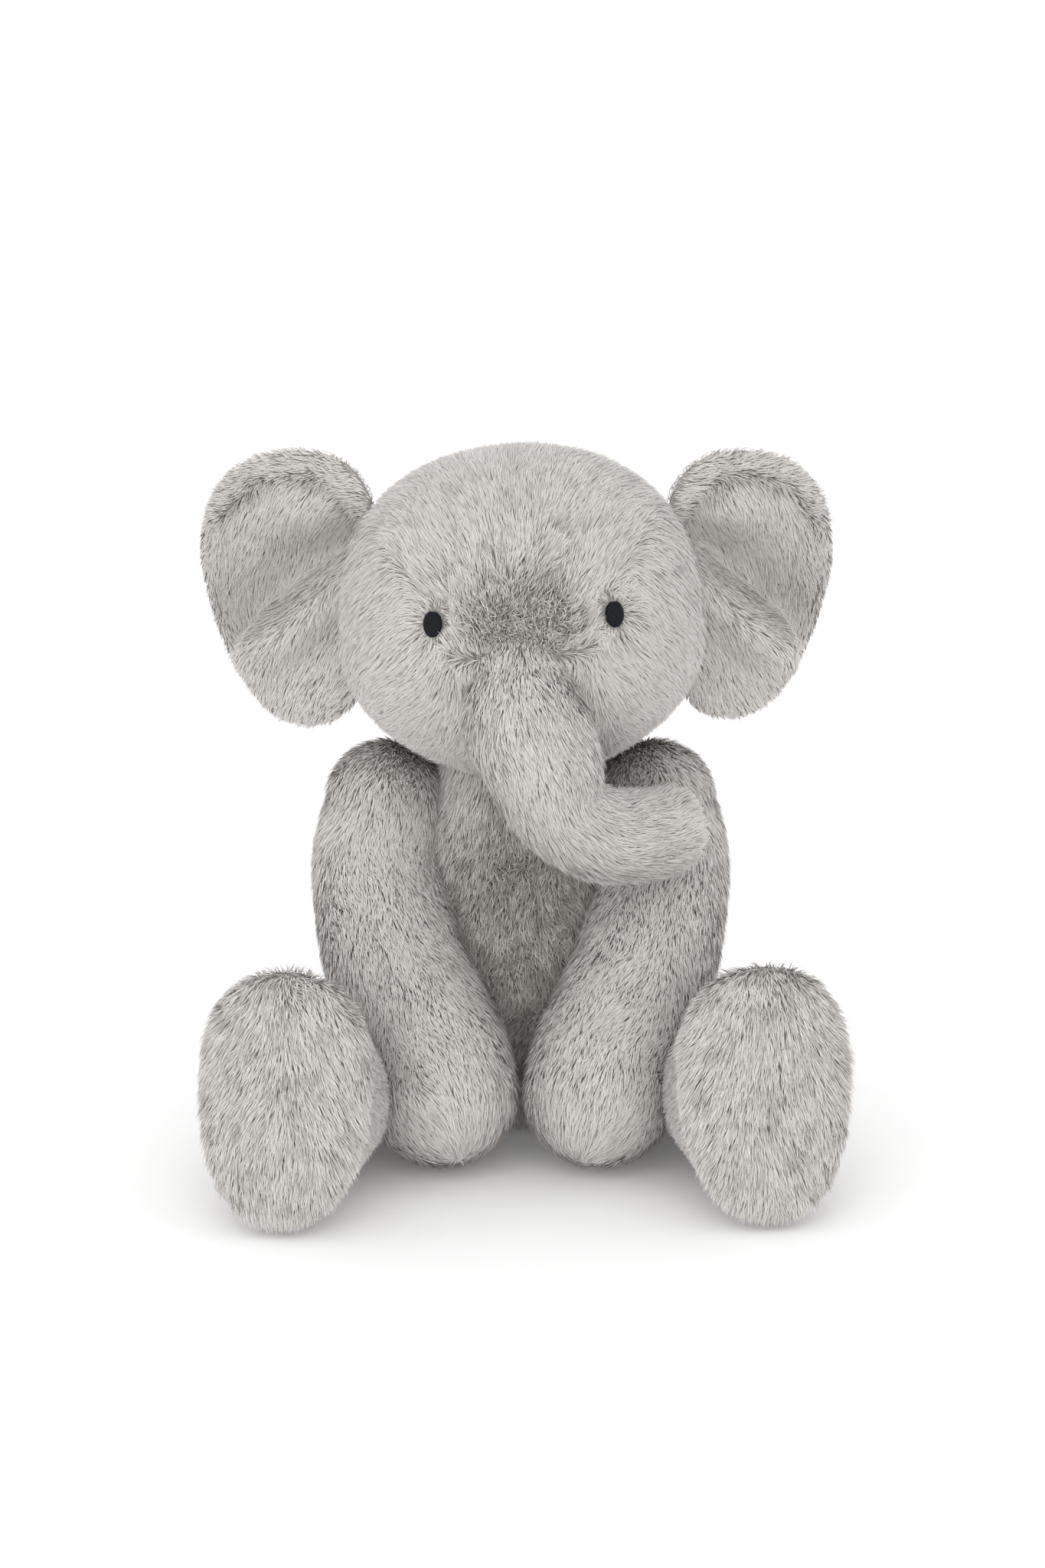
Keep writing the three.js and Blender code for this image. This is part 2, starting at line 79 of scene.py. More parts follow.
EAR_OUTLINE = [  # across and up, round the ear from its root, before scaling
    (62, 264), (65, 284), (78, 298), (97, 302), (120, 297), (136, 281), (142, 256),
    (139, 228), (130, 203), (112, 178), (91, 170), (72, 181), (66, 215),
]
EAR_CENTRE = (104, 238)
EAR_ROOT = (62, 298)  # the point that stays in place when the ear is scaled
EAR_SCALE = {"left": (0.956, 0.945), "right": (1.0, 0.973)}
EAR_THICK, EAR_Y = 13.0, 6.0
EAR_CUP, EAR_CUP_POWER = 11.0, 2.4  # how far forward the rim comes, and how sharply
EAR_CREASE_START = (77, 256)
EAR_CREASE_END = (121, 218)
EAR_CREASE_DEPTH = 15.0
EAR_CREASE_ABOVE, EAR_CREASE_BELOW = 21, 6  # how far the crease's two sides spread
LOWER_LOBE_DEPTH, LOWER_LOBE_DROP, LOWER_LOBE_SPREAD = 7.0, 13, 10  # the swelling below the crease
UPPER_LOBE_DEPTH = 8.0  # the fold at the top of the ear, near the head
UPPER_LOBE_PLACE, UPPER_LOBE_SPREAD = (86, 271), (17, 12)
EAR_SEAM_V = 0.30  # where the front's upper seam runs, along the ear's own v
EAR_SEAM_START = 262  # the height above which that seam shows
EYES = {"left": (32.5, 9.6), "right": (-30.0, 6.6)}  # degrees round and up from the head's middle
EYE_HALF = (4.5, 5.5)  # half an eye's width and height
THREAD_PITCH, THREAD_RADIUS = 0.36, 0.24  # of the satin stitch
THREAD_STEPS, THREAD_SIDES = 12, 6
PADDING_HALF, PADDING_HEIGHT = (5.2, 6.3), 1.5  # the padding under the threads
GUSSET_HEIGHTS = [-22, 14, 43, 90]  # above the head's middle
GUSSET_HALVES = [23, 34, 58, 72]  # half the width of the strip over the head at those heights
GUSSET_END = -4  # where the strip ends above the trunk
SEAM_SPREAD = 1.8  # half the width of the darker line along the strip's seams

# ---- the pile -----------------------------------------------------------------------------

BACKING_DEPTH = 3.4  # how far the backing cloth lies inside the model's outer surface
PILE_LENGTH = 9.0
PILE_WIDTH = 0.37
DENSITY = 2.3  # strands in a square millimetre
LENGTHS, WIDTHS = (0.7, 1.1), (0.75, 1.25)  # least and most, as parts of the usual
LIE, LIFT, DROOP = 0.42, 0.64, 0.26  # how far a strand leans, stands and bends back down
LOCK = 1.7  # distance between the locks that strands gather into
WISP = 6.0  # distance between the wisps that locks lean towards
LOCK_PULL, WISP_PULL = (0.5, 0.85), 0.16  # how far tips are drawn to their lock's middle and their wisp's
FLOOR_CLEAR = 0.3  # the lowest that a strand may reach
BACKING_CLEAR = 1.5  # the lowest that the backing cloth may reach
EYE_WHORL_OUTER, EYE_WHORL_INNER, EYE_WHORL_CORE = 20, 13, 6  # how far pile parts round an eye
BRIDGE_HEIGHT = 9  # of the ruffled patch above the trunk, from the head's middle
BRIDGE_ABOVE, BRIDGE_BELOW, BRIDGE_BESIDE = 21, 12, 22  # how far the patch spreads
BROW_HEIGHT, BROW_SPREAD = -1, (19, 4)  # the dark line under that patch
SHOULDER_WHORL = np.array([52.0, -22.0, 160.0])  # middle of the parted pile on each shoulder
WHORL_SIZE = np.array([15.0, 20.0, 18.0])
PIECE_STRANDS = 66000  # most strands in one piece
MIDDLE_TINT, LOCK_TINT, WISP_TINT = 0.62, 0.34, 0.24  # the usual tint, and how far clumps differ
TINT_LIMITS = (0.04, 0.96)
PAINTED_LIGHT = {"ear": 0.18, "arm": 0.18, "cheek": 0.1}  # painted light: how much lighter than usual these are coloured, to look more brightly lit
TINT_SPREAD = 0.02  # half the width of a strand in the tint direction of its UV map
HIDDEN_DEPTH = {"torso": 12, "trunk": 8, "limb": 10}  # no pile deeper than this inside the next part
SEAT_TOP, SEAT_PILE = 4.5, 4.0  # how high the seat panel reaches, and its short pile
EAR_PILE = PILE_LENGTH * 0.9
TAIL_PILE, TAIL_BACKING_DEPTH = 6.0, 2.0
COWLICK_SIZE = 24  # how far apart the parted spots are
SLOW_WAVE, SLOW_WAVE_SEED = 52.0, 71  # one seed each, so that the pile flows on across the seams
QUICK_WAVE, QUICK_WAVE_SEED = 16.0, 72
PLACE_SEED = {"head": 11, "torso": 12, "trunk": 13, "ear": 14, "arm": 16, "leg": 18, "tail": 20}
PILE_SEED = {
    "head": 100, "torso": 150, "trunk": 200, "ear": 210, "arm": 240, "leg": 270, "sole": 290, "tail": 300,
}
COWLICK_SEED = {"head": 5, "torso": 6, "ear": 7, "arm": 8, "leg": 9, "trunk": 10}
LOCK_SALT, WISP_SALT = 7, 8

SIDES = {"left": 1.0, "right": -1.0}


# ---- the room, in metres ------------------------------------------------------------------

FLOOR_HALF = 30.0
CAMERA_AIM = Vector((0.0008, -0.04, 0.15))
CAMERA_ELEVATION, CAMERA_DISTANCE = math.radians(15), 1.7
CAMERA_RAISE = 0.0074  # how far the picture's middle lies above the aim
CAMERA_LENS = 134.0
LAMP_TOWARDS, LAMP_STRENGTH, LAMP_SPREAD = (-0.12, -1.0, 0.28), 1.45, 70  # the spread is in degrees


# ---- small vector helpers -----------------------------------------------------------------

def unit(v):
    """Each row at length 1."""
    return v / np.maximum(np.linalg.norm(v, axis=-1, keepdims=True), 1e-9)


def dot(a, b):
    """The dot product of each pair of rows, kept as a column."""
    return np.sum(a * b, axis=-1, keepdims=True)


def smooth(x):
    """From 0 to 1 as x goes from 0 to 1, level at both ends."""
    x = np.clip(x, 0.0, 1.0)
    return x * x * (3 - 2 * x)


def rising(x, start, end):
    """0 below the start, 1 above the end, and smooth between them."""
    return smooth((x - start) / (end - start))


def falling(x, start, end):
    """1 below the start, 0 above the end, and smooth between them."""
    return smooth((end - x) / (end - start))


def bell(x):
    """1 at 0, and soon 0 on either side."""
    return np.exp(-x * x)


def hashed(cells, salt):
    """Three repeatable random numbers, 0 to 1, for each whole-number cell."""
    x, y, z = (cells[..., i].astype(np.int64) for i in range(3))
    n = (x * 73856093) ^ (y * 19349663) ^ (z * 83492791) ^ (salt * 2654435761)
    out = []
    for k in range(3):
        m = (n + k * 1013904223) & 0xFFFFFFFF
        m = ((m ^ (m >> 16)) * 0x45D9F3B) & 0xFFFFFFFF
        m = ((m ^ (m >> 16)) * 0x45D9F3B) & 0xFFFFFFFF
        out.append(((m ^ (m >> 16)) & 0xFFFFFF) / float(0x1000000))
    return np.stack(out, -1)


def clump_centres(points, size, salt):
    """The nearest of a scatter of points, one in each cube of the given size."""
    base = np.floor(points / size)
    best = np.full(len(points), 1e9)
    centre = np.zeros_like(points)
    for dx in (-1, 0, 1):
        for dy in (-1, 0, 1):
            for dz in (-1, 0, 1):
                cells = base + np.array([dx, dy, dz])
                spot = (cells + hashed(cells, salt)) * size
                gap = np.sum((spot - points) ** 2, -1)
                near = gap < best
                best[near] = gap[near]
                centre[near] = spot[near]
    return centre


def waves(points, size, seed):
    """A smooth wandering vector, about -1 to 1, that changes over the given distance."""
    rng = np.random.default_rng(seed)
    total = np.zeros_like(points)
    for _ in range(5):
        turn = unit(rng.normal(size=3)) * (2 * math.pi / size) * rng.uniform(0.6, 1.4)
        for k in range(3):
            total[:, k] += np.sin(points @ np.roll(turn, k) + rng.uniform(0, 2 * math.pi))
    return total / 2.2


def between(a, b, c, d, f):
    """A point from b to c, for f from 0 to 1, on a smooth curve that also passes a and d."""
    square, cube = 2 * a - 5 * b + 4 * c - d, 3 * b - a - 3 * c + d
    return 0.5 * (2 * b + (c - a) * f + square * f ** 2 + cube * f ** 3)


def catmull(rows, t):
    """Points on a smooth curve through the rows, for t from 0 to 1."""
    rows = np.asarray(rows, float)
    ends = np.vstack([2 * rows[0] - rows[1], rows, 2 * rows[-1] - rows[-2]])
    spans = len(rows) - 1
    x = np.clip(t, 0, 1) * spans
    i = np.minimum(x.astype(int), spans - 1)
    f = (x - i)[..., None]
    return between(ends[i], ends[i + 1], ends[i + 2], ends[i + 3], f)


# ---- surfaces: each takes u round and v along, both 0 to 1, and an inset -------------------

def limb_surface(stations, reference, start_dome, end_dome, corners=0.0, egg=0.0, inner=0.0):
    """A bent tube with a dome at each end.

    Its far end may be fuller at the corners, wider on top and fuller on the side towards the body.
    """
    centres = [s[0] for s in stations]
    sizes = [(s[1], s[2]) for s in stations]
    reference = np.asarray(reference, float)
    dome = DOME_SHARE
    step = 1e-3

    def at(u, v, inset=0.0):
        t = np.clip((v - dome) / (1 - 2 * dome), 0, 1)
        ahead = catmull(centres, np.minimum(t + step, 1))
        behind = catmull(centres, np.maximum(t - step, 0))
        tangent = unit(ahead - behind)
        start = np.clip(1 - v / dome, 0, 1) * math.pi / 2
        end = np.clip((v - 1 + dome) / dome, 0, 1) * math.pi / 2
        along = (end_dome - inset) * np.sin(end) - (start_dome - inset) * np.sin(start)
        scale = (np.cos(start) * np.cos(end))[..., None]
        across = unit(np.cross(tangent, reference))
        other = np.cross(tangent, across)
        size = catmull(sizes, t) - inset
        angle = 2 * math.pi * u[..., None]
        far = smooth((t[..., None] - 0.84) / 0.16)
        size = size * (1 + corners * far * np.sin(2 * angle) ** 2)
        inward = smooth((t[..., None] - 0.4) / 0.4) * np.maximum(np.cos(angle), 0)
        wide = 1 - egg * far * np.sin(angle) + inner * inward
        ring = across * size[..., :1] * wide * np.cos(angle) + other * size[..., 1:] * np.sin(angle)
        return catmull(centres, t) + tangent * along[..., None] + ring * scale

    return at


def mirrored(at, side):
    """The surface as it is on the left, and mirrored on the right."""
    flip = np.array([side, 1.0, 1.0])
    return lambda u, v, inset=0.0: at(u if side > 0 else 1 - u, v, inset) * flip


def head_surface(u, v, inset=0.0):
    """An ellipsoid with fuller upper corners and cheeks, rolled to one side; v runs down from the crown."""
    angle, fall = 2 * math.pi * u, math.pi * v
    low = np.maximum(0, -np.cos(fall))
    x = np.sin(fall) * np.cos(angle) * (1 + CHEEK_FULLNESS * low * (1 - low ** 2))
    y = np.sin(fall) * np.sin(angle)
    z = np.cos(fall)
    corner = (2 * x * z / np.maximum(x * x + z * z, 1e-6)) ** 2 * smooth(z * 2)
    full = 1 + CROWN_FULLNESS * corner * (1 - y * y)
    p = np.stack([x * full, y, z * full], -1) * (HEAD_SIZE - inset)
    return p @ roll_matrix().T + HEAD


def roll_matrix():
    """The turn about the front-to-back axis that gives the head its roll."""
    c, s = math.cos(HEAD_ROLL), math.sin(HEAD_ROLL)
    return np.array([[c, 0, -s], [0, 1, 0], [s, 0, c]])


def torso_surface(u, v, inset=0.0):
    """v runs from the middle of the seat, up the side, to the top of the neck."""
    p = catmull(TORSO_PROFILE, v)
    height = p[..., 1]
    radius = np.maximum(p[..., 0] - inset * rising(p[..., 0], 0, 12), 0)
    seat_lift = inset * (1 - rising(height, 0, 10))
    neck_drop = inset * rising(height, 150, 162)
    angle = 2 * math.pi * u
    return np.stack([
        radius * np.cos(angle),
        radius * np.sin(angle) * TORSO_DEPTH,
        np.maximum(height + seat_lift * 0.7 - neck_drop, inset * 0.7),
    ], -1)


def leg_surface(side):
    """One leg, from its hip to the sole, which is the far end of its v."""
    foot = FEET[side]
    stations = [
        (tuple(HIP), HIP_RADIUS, HIP_RADIUS),
        (tuple(HIP + THIGH_STEP), *THIGH_SIZE),
        (tuple(foot + ANKLE_STEP), *ANKLE_SIZE),
        (tuple(foot), SOLE_WIDTH, SOLE_HEIGHT),
    ]
    shape = limb_surface(stations, (0, 0, 1), HIP_RADIUS, SOLE_DOME, FOOT_CORNERS, FOOT_EGG, FOOT_INNER)
    return mirrored(shape, SIDES[side])


def arm_surface(side):
    """One arm, from its shoulder to the paw."""
    return mirrored(limb_surface(ARM, (1, 0, 0), *ARM_DOMES), SIDES[side])


def ear_surface(side):
    """u runs round the outline, and v from the middle of the front, over the rim, to the back's middle."""
    width, height = EAR_SCALE[side]

    def scaled(place):
        across, up = EAR_ROOT
        return across + (place[0] - across) * width, up + (place[1] - up) * height

    loop = np.array([scaled(place) for place in EAR_OUTLINE])
    centre = np.array(scaled(EAR_CENTRE))
    count = len(loop)

    def outline(u):
        x = (u % 1.0) * count
        i = x.astype(int) % count
        f = (x - np.floor(x))[..., None]
        return between(*(loop[(i + k) % count] for k in range(4)), f)

    def middle(x, z, reach):
        """How far back the ear's middle sheet lies: cupped, with a crease that runs down from the root."""
        run, rise = EAR_CREASE_END[0] - EAR_CREASE_START[0], EAR_CREASE_END[1] - EAR_CREASE_START[1]
        size = math.hypot(run, rise)
        dx, dz = x - EAR_CREASE_START[0], z - EAR_CREASE_START[1]
        along = (dx * run + dz * rise) / size
        above = (dz * run - dx * rise) / size
        held = smooth((size + 18 - along) / 34) * smooth((along + 24) / 22)
        sides = np.where(above > 0, bell(above / EAR_CREASE_ABOVE), bell(above / EAR_CREASE_BELOW))
        crease = EAR_CREASE_DEPTH * sides * held
        lower_lobe = LOWER_LOBE_DEPTH * bell((above + LOWER_LOBE_DROP) / LOWER_LOBE_SPREAD) * held
        upper_lobe = UPPER_LOBE_DEPTH * bell((x - UPPER_LOBE_PLACE[0]) / UPPER_LOBE_SPREAD[0])
        upper_lobe = upper_lobe * bell((z - UPPER_LOBE_PLACE[1]) / UPPER_LOBE_SPREAD[1])
        return EAR_Y - EAR_CUP * reach ** EAR_CUP_POWER + crease - lower_lobe - upper_lobe

    def at(u, v, inset=0.0):
        turn = math.pi * v
        reach = np.sin(turn)
        rim = outline(u)
        out = rim - centre
        rim = centre + out * (1 - inset / np.linalg.norm(out, axis=-1, keepdims=True))
        xz = centre + (rim - centre) * reach[..., None]
        half = (EAR_THICK / 2 - inset * 0.8) * np.sign(np.cos(turn)) * np.abs(np.cos(turn)) ** 0.6
        y = middle(xz[..., 0], xz[..., 1], reach) - half
        return np.stack([xz[..., 0], y, xz[..., 1]], -1)

    return mirrored(at, SIDES[side])


# ---- which way the pile lies --------------------------------------------------------------

def eye_point(side):
    """The middle of an eye on the head's surface, and the way that it faces."""
    azimuth, elevation = (math.radians(a) for a in EYES[side])
    ray = np.array([
        math.sin(azimuth) * math.cos(elevation), -math.cos(azimuth) * math.cos(elevation),
        math.sin(elevation)])
    reach = 1 / np.linalg.norm(ray / HEAD_SIZE)
    normal = unit(ray * reach / HEAD_SIZE ** 2)
    return ray * reach + HEAD, normal


def gusset_half(z):
    """Half the width of the strip over the head, at a height above the head's middle."""
    return np.interp(z, GUSSET_HEIGHTS, GUSSET_HALVES)


def in_head_frame(p):
    """Points as seen from the head's middle, before its roll."""
    return (p - HEAD) @ roll_matrix()


def gusset_share(p, spread=0.5):
    """1 on the strip over the head and 0 on the cheeks, changing over the spread at the seams."""
    q = in_head_frame(p)
    beside = smooth((gusset_half(q[:, 2]) - np.abs(q[:, 0])) / (2 * spread) + 0.5)
    above = smooth((q[:, 2] - GUSSET_END) / (2 * spread) + 0.5)
    behind = q[:, 1] > 20
    return np.where(behind, beside, beside * above)


def head_nap(s):
    """Up and back from the bridge on the strip, and out and down from the eyes on the cheeks."""
    p = s["point"]
    q = in_head_frame(p)
    side = np.sign(q[:, :1])
    across = np.array([1.0, 0, 0])
    back = np.cross(q, across) / 75
    top = unit(back + across * q[:, :1] / 60)
    out = rising(np.abs(q[:, :1]), 20, 50) * np.clip(0.75 - q[:, 2:3] * 0.004, 0.3, 1)
    out = out * falling(q[:, 1:2], -20, 10)  # straight down behind the ears
    cheek = unit(np.concatenate([side * out, 0.4 * out, np.full_like(side, -0.85)], 1))
    share = gusset_share(p, 4.0)[:, None]
    nap = top * share + cheek * (1 - share)
    for eye in EYES:
        away = p - eye_point(eye)[0]
        outer = away[:, :1] * SIDES[eye] > 0
        reach = np.where(outer, EYE_WHORL_OUTER, EYE_WHORL_INNER)
        distance = np.linalg.norm(away, axis=1, keepdims=True)
        near = smooth((reach - distance) / (reach - EYE_WHORL_CORE)) * (q[:, 1:2] < 0)
        target = unit(away) + np.where(outer, 0.1, 0.6) * np.array([0, 0, -1.0])
        nap = nap * (1 - near) + target * near
    return nap


def bridge(p):
    """1 in the middle of the ruffled patch above the trunk, falling to 0 round it."""
    q = in_head_frame(p)
    front = rising(-q[:, 1], 40, 60)
    height = q[:, 2] - BRIDGE_HEIGHT
    fade = np.where(height > 0, bell(height / BRIDGE_ABOVE), np.exp(-(height / BRIDGE_BELOW) ** 4))
    return front * np.exp(-(q[:, 0] / BRIDGE_BESIDE) ** 4) * fade


def cowlicks(p, size, seed):
    """0 in calm pile, up to 1 in scattered spots where it parts."""
    w = waves(p, size, seed)
    return smooth((w[:, 0] * w[:, 1] + 0.5 * w[:, 2] - 0.25) / 0.7)


def limb_nap(s):
    """Along the limb, to its far end."""
    return s["along"]


def leg_nap(s):
    """Back along the leg from the sole, and down."""
    return -s["along"] * 0.8 + np.array([0, 0, -0.35])


def sole_nap(s):
    """Down, and out towards the sole's rim."""
    return np.array([0.0, 0.0, -1.0]) + 0.35 * s["outwards"]


def torso_nap(s):
    """Down, a little lifted."""
    return np.array([0.0, 0.0, -1.0]) + 0.15 * s["normal"]


def ear_nap(side):
    """Down from the upper seam on the front, and over the top to the back above it."""
    outward = SIDES[side]

    def nap(s):
        p = s["point"]
        over = smooth((s["v"] - EAR_SEAM_V) / 0.06 + 0.5)
        over = over * rising(p[:, 2], EAR_SEAM_START, EAR_SEAM_START + 12)
        over = (over * (s["v"] < 0.5))[:, None]
        down = unit(np.array([outward * 0.42, 0.0, -1.0]) + 0 * p)
        up = unit(np.array([outward * 0.8, 0.6, 0.3]) + 0 * p)
        return down * (1 - over) + up * over

    return nap


# ---- meshes -------------------------------------------------------------------------------

def new_object(name, vertices, faces, material):
    """A smooth mesh object from points in millimetres and faces that all have as many corners."""
    mesh = bpy.data.meshes.new(name)
    mesh.vertices.add(len(vertices))
    mesh.vertices.foreach_set("co", np.asarray(vertices, np.float32).ravel() * MM)
    sizes = np.full(len(faces), faces.shape[1], np.int32)
    mesh.loops.add(int(sizes.sum()))
    mesh.loops.foreach_set("vertex_index", faces.astype(np.int32).ravel())
    mesh.polygons.add(len(faces))
    mesh.polygons.foreach_set("loop_start", np.arange(len(faces), dtype=np.int32) * faces.shape[1])
    mesh.polygons.foreach_set("use_smooth", np.ones(len(faces), bool))
    mesh.update(calc_edges=True)
    mesh.materials.append(material)
    piece = bpy.data.objects.new(name, mesh)
    bpy.context.scene.collection.objects.link(piece)
    return piece


def shell_mesh(name, at, inset, material, around=96, along=72):
    """A closed mesh of a surface, with a point at each end of v."""
    u, v = np.meshgrid(np.arange(around) / around, np.arange(1, along) / along)
    rings = at(u.ravel(), v.ravel(), inset)
    poles = at(np.zeros(2), np.array([0.0, 1.0]), inset)
    vertices = np.vstack([rings, poles])
    vertices[:, 2] = np.maximum(vertices[:, 2], BACKING_CLEAR)
    rows, columns = np.meshgrid(np.arange(along - 2), np.arange(around), indexing="ij")
    a = (rows * around + columns).ravel()
    b = (rows * around + (columns + 1) % around).ravel()
    quads = np.stack([a, b, b + around, a + around], 1)
    start, end = len(rings), len(rings) + 1
    ring = np.arange(around)
    nxt = (ring + 1) % around
    last = (along - 2) * around
    caps = np.vstack([
        np.stack([nxt, ring, np.full(around, start)], 1),
        np.stack([last + ring, last + nxt, np.full(around, end)], 1)])
    triangles = np.vstack([quads[:, [0, 1, 2]], quads[:, [0, 2, 3]], caps])
    piece = new_object(name, vertices, triangles, material)
    turn_outwards(piece)
    return piece


def turn_outwards(piece):
    """Turns a closed mesh the right way out."""
    bm = bmesh.new()
    bm.from_mesh(piece.data)
    bmesh.ops.recalc_face_normals(bm, faces=bm.faces)
    bm.to_mesh(piece.data)
    bm.free()


def scatter(at, inset, density, seed):
    """Evenly spread places on a surface, with the outward normal and the direction of v at each.

    The places are a dictionary of arrays, one row for each place. Every function here calls it s.
    """
    rng = np.random.default_rng(seed)
    around, along = 160, 120
    u, v = np.meshgrid((np.arange(around) + 0.5) / around, (np.arange(along) + 0.5) / along)
    u, v = u.ravel(), v.ravel()
    du, dv = slopes(at, u, v, inset)
    area = np.linalg.norm(np.cross(du, dv), axis=1) / (around * along)
    total = int(area.sum() * density)
    cell = rng.choice(len(u), total, p=area / area.sum())
    u = u[cell] + (rng.random(total) - 0.5) / around
    v = np.clip(v[cell] + (rng.random(total) - 0.5) / along, 0.002, 0.998)
    point = at(u, v, inset)
    du, dv = slopes(at, u, v, inset)
    normal = unit(np.cross(du, dv))
    outwards = at(u, v, inset - 1.0) - point
    normal = normal * np.sign(dot(normal, outwards))
    return {"point": point, "normal": normal, "along": unit(dv), "v": v}


def slopes(at, u, v, inset):
    """How fast a surface's point moves with u and with v."""
    step = 1e-3
    du = (at(u + step, v, inset) - at(u - step, v, inset)) / (2 * step)
    high, low = np.minimum(v + step, 1), np.maximum(v - step, 0)
    dv = (at(u, high, inset) - at(u, low, inset)) / (high - low)[:, None]
    return du, dv


def keep(s, chosen):
    """The chosen places only, by a mask or by their numbers."""
    return {name: values[chosen] for name, values in s.items()}


STATIONS = (0.0, 0.56, 1.0)  # places along a strand
HALVES = (0.4, 0.5, 0.0)  # half widths there, as parts of the strand's width
RIBBON = np.array([[0, 1, 3], [0, 3, 2], [2, 3, 4]])
RIBBON_SIDE = np.array([-1, 1, -1, 1, 0])
RIBBON_PLACE = np.array([0.02, 0.02, 0.56, 0.56, 0.98])
CALM_START = 0.28  # where a calm strand's root lies on the colour ramp; one with shaded roots, from parted pile or painted shade, starts lower, down to 0


def gathered(p, n, size, salt):
    """From each root towards the middle of its lock, along the surface."""
    pull = clump_centres(p, size, salt) - p
    return pull - n * dot(pull, n)


def strands(s, nap, seed, length):
    """Vertices, normals, tints and ramp starts of tapered, curved ribbons rooted at the places in s.

    Beside its point and normal, each place may say how far its pile is ruffled, shaded at the root, trimmed
    and dimmed; some of that root shade and dimming, and the lightening that a negative dimming gives, are
    painted light and shade.
    """
    rng = np.random.default_rng(seed)
    p, n = s["point"], s["normal"]
    count = len(p)
    ruffle = s.get("ruffle", np.zeros(count))[:, None]
    shade = s.get("shade", np.zeros(count))
    flow = unit(nap(s))
    flow = flow + waves(p, SLOW_WAVE, SLOW_WAVE_SEED) * 0.14
    flow = flow + waves(p, QUICK_WAVE, QUICK_WAVE_SEED) * (0.12 + 0.5 * ruffle)
    flow = flow + rng.normal(size=(count, 3)) * (0.10 + 0.6 * ruffle ** 2)
    flow = unit(flow - n * dot(flow, n))
    across = unit(np.cross(flow, n))
    size = length * rng.uniform(*LENGTHS, (count, 1)) * (1 - 0.25 * ruffle)
    size = size * s.get("trim", np.ones(count))[:, None]
    pull = gathered(p, n, LOCK, LOCK_SALT) * rng.uniform(*LOCK_PULL, (count, 1))
    pull = pull + gathered(p, n, WISP, WISP_SALT) * WISP_PULL
    lift = LIFT + 0.12 * ruffle + rng.normal(size=(count, 1)) * 0.06
    lean = 1 - 0.3 * ruffle
    side = unit(across + n * rng.normal(size=(count, 1)) * 0.4)
    width = PILE_WIDTH * rng.uniform(*WIDTHS, (count, 1))
    bend = across * rng.normal(size=(count, 1)) * 0.35
    rows = []
    for t, half in zip(STATIONS, HALVES):
        lie = LIE * t + LIE * t * t
        middle = p + size * (flow * lean * lie + n * (lift * t - DROOP * t * t))
        middle = middle + pull * t ** 1.6 + bend * t * t
        if half > 0:
            rows.append(middle - side * width * half)
            rows.append(middle + side * width * half)
        else:
            rows.append(middle)
    vertices = np.stack(rows, 1)
    vertices[..., 2] = np.maximum(vertices[..., 2], FLOOR_CLEAR)
    shading = unit(n + 0.25 * flow + rng.normal(size=(count, 3)) * 0.12)
    normals = np.repeat(shading[:, None], len(RIBBON_SIDE), 1)
    lock = clump_tint(p, LOCK, LOCK_SALT, 3) * LOCK_TINT
    wisp = clump_tint(p, WISP, WISP_SALT, 4) * WISP_TINT
    grain = rng.normal(size=count) * (0.10 + 0.15 * ruffle[:, 0])
    tint = MIDDLE_TINT + grain + lock + wisp - 0.3 * shade
    # darker tones of the pile, and painted light and shade, taken off the tint
    tint = tint - s.get("dim", 0)
    start = CALM_START * (1 - np.clip(shade * 2, 0, 1))
    return vertices, normals, np.clip(tint, *TINT_LIMITS), start


def clump_tint(p, size, salt, tint_salt):
    """The same random number, -0.5 to 0.5, for every strand of a clump."""
    return hashed(np.floor(clump_centres(p, size, salt) * 3.1), tint_salt)[:, 0] - 0.5


def fur(name, s, nap, seed, length=PILE_LENGTH):
    """The pile of one panel, in as many pieces as it takes, in bands along the surface."""
    order = np.argsort(s["v"], kind="stable")
    bands = max(1, math.ceil(len(order) / PIECE_STRANDS))
    pieces = []
    for band, rows in enumerate(np.array_split(order, bands)):
        part = keep(s, rows)
        vertices, normals, tint, start = strands(part, nap, seed + band, length)
        count = len(tint)
        faces = (np.arange(count)[:, None, None] * len(RIBBON_SIDE) + RIBBON[None]).reshape(-1, 3)
        label = name if bands == 1 else f"{name}_{band + 1}"
        piece = new_object(label, vertices.reshape(-1, 3), faces, FUR)
        free = piece.data.attributes.new("custom_normal", "FLOAT_VECTOR", "POINT")
        free.data.foreach_set("vector", normals.reshape(-1, 3).astype(np.float32).ravel())
        uv = np.empty((count, len(RIBBON_SIDE), 2), np.float32)
        uv[..., 0] = tint[:, None] + RIBBON_SIDE[None] * TINT_SPREAD
        uv[..., 1] = start[:, None] + (1 - start[:, None]) * RIBBON_PLACE[None]
        layer = piece.data.uv_layers.new(name="OFBake")
        layer.data.foreach_set("uv", uv.reshape(-1, 2)[faces.ravel()].ravel())
        pieces.append(piece)
    return pieces


# ---- materials ----------------------------------------------------------------------------

def principled(name, roughness, sheen=0.0, specular=0.3):
    """A new material with its nodes, links and shader."""
    material = bpy.data.materials.new(name)
    material.use_nodes = True
    nodes, links = material.node_tree.nodes, material.node_tree.links
    shader = nodes["Principled BSDF"]
    shader.inputs["Roughness"].default_value = roughness
    shader.inputs["Sheen Weight"].default_value = sheen
    shader.inputs["Specular IOR Level"].default_value = specular
    return material, nodes, links, shader


def ramp(nodes, stops):
    """A colour ramp with the given positions and colours."""
    node = nodes.new("ShaderNodeValToRGB")
    elements = node.color_ramp.elements
    while len(elements) < len(stops):
        elements.new(0.5)
    for element, (position, colour) in zip(elements, stops):
        element.position = position
        element.color = (*colour, 1)
    return node


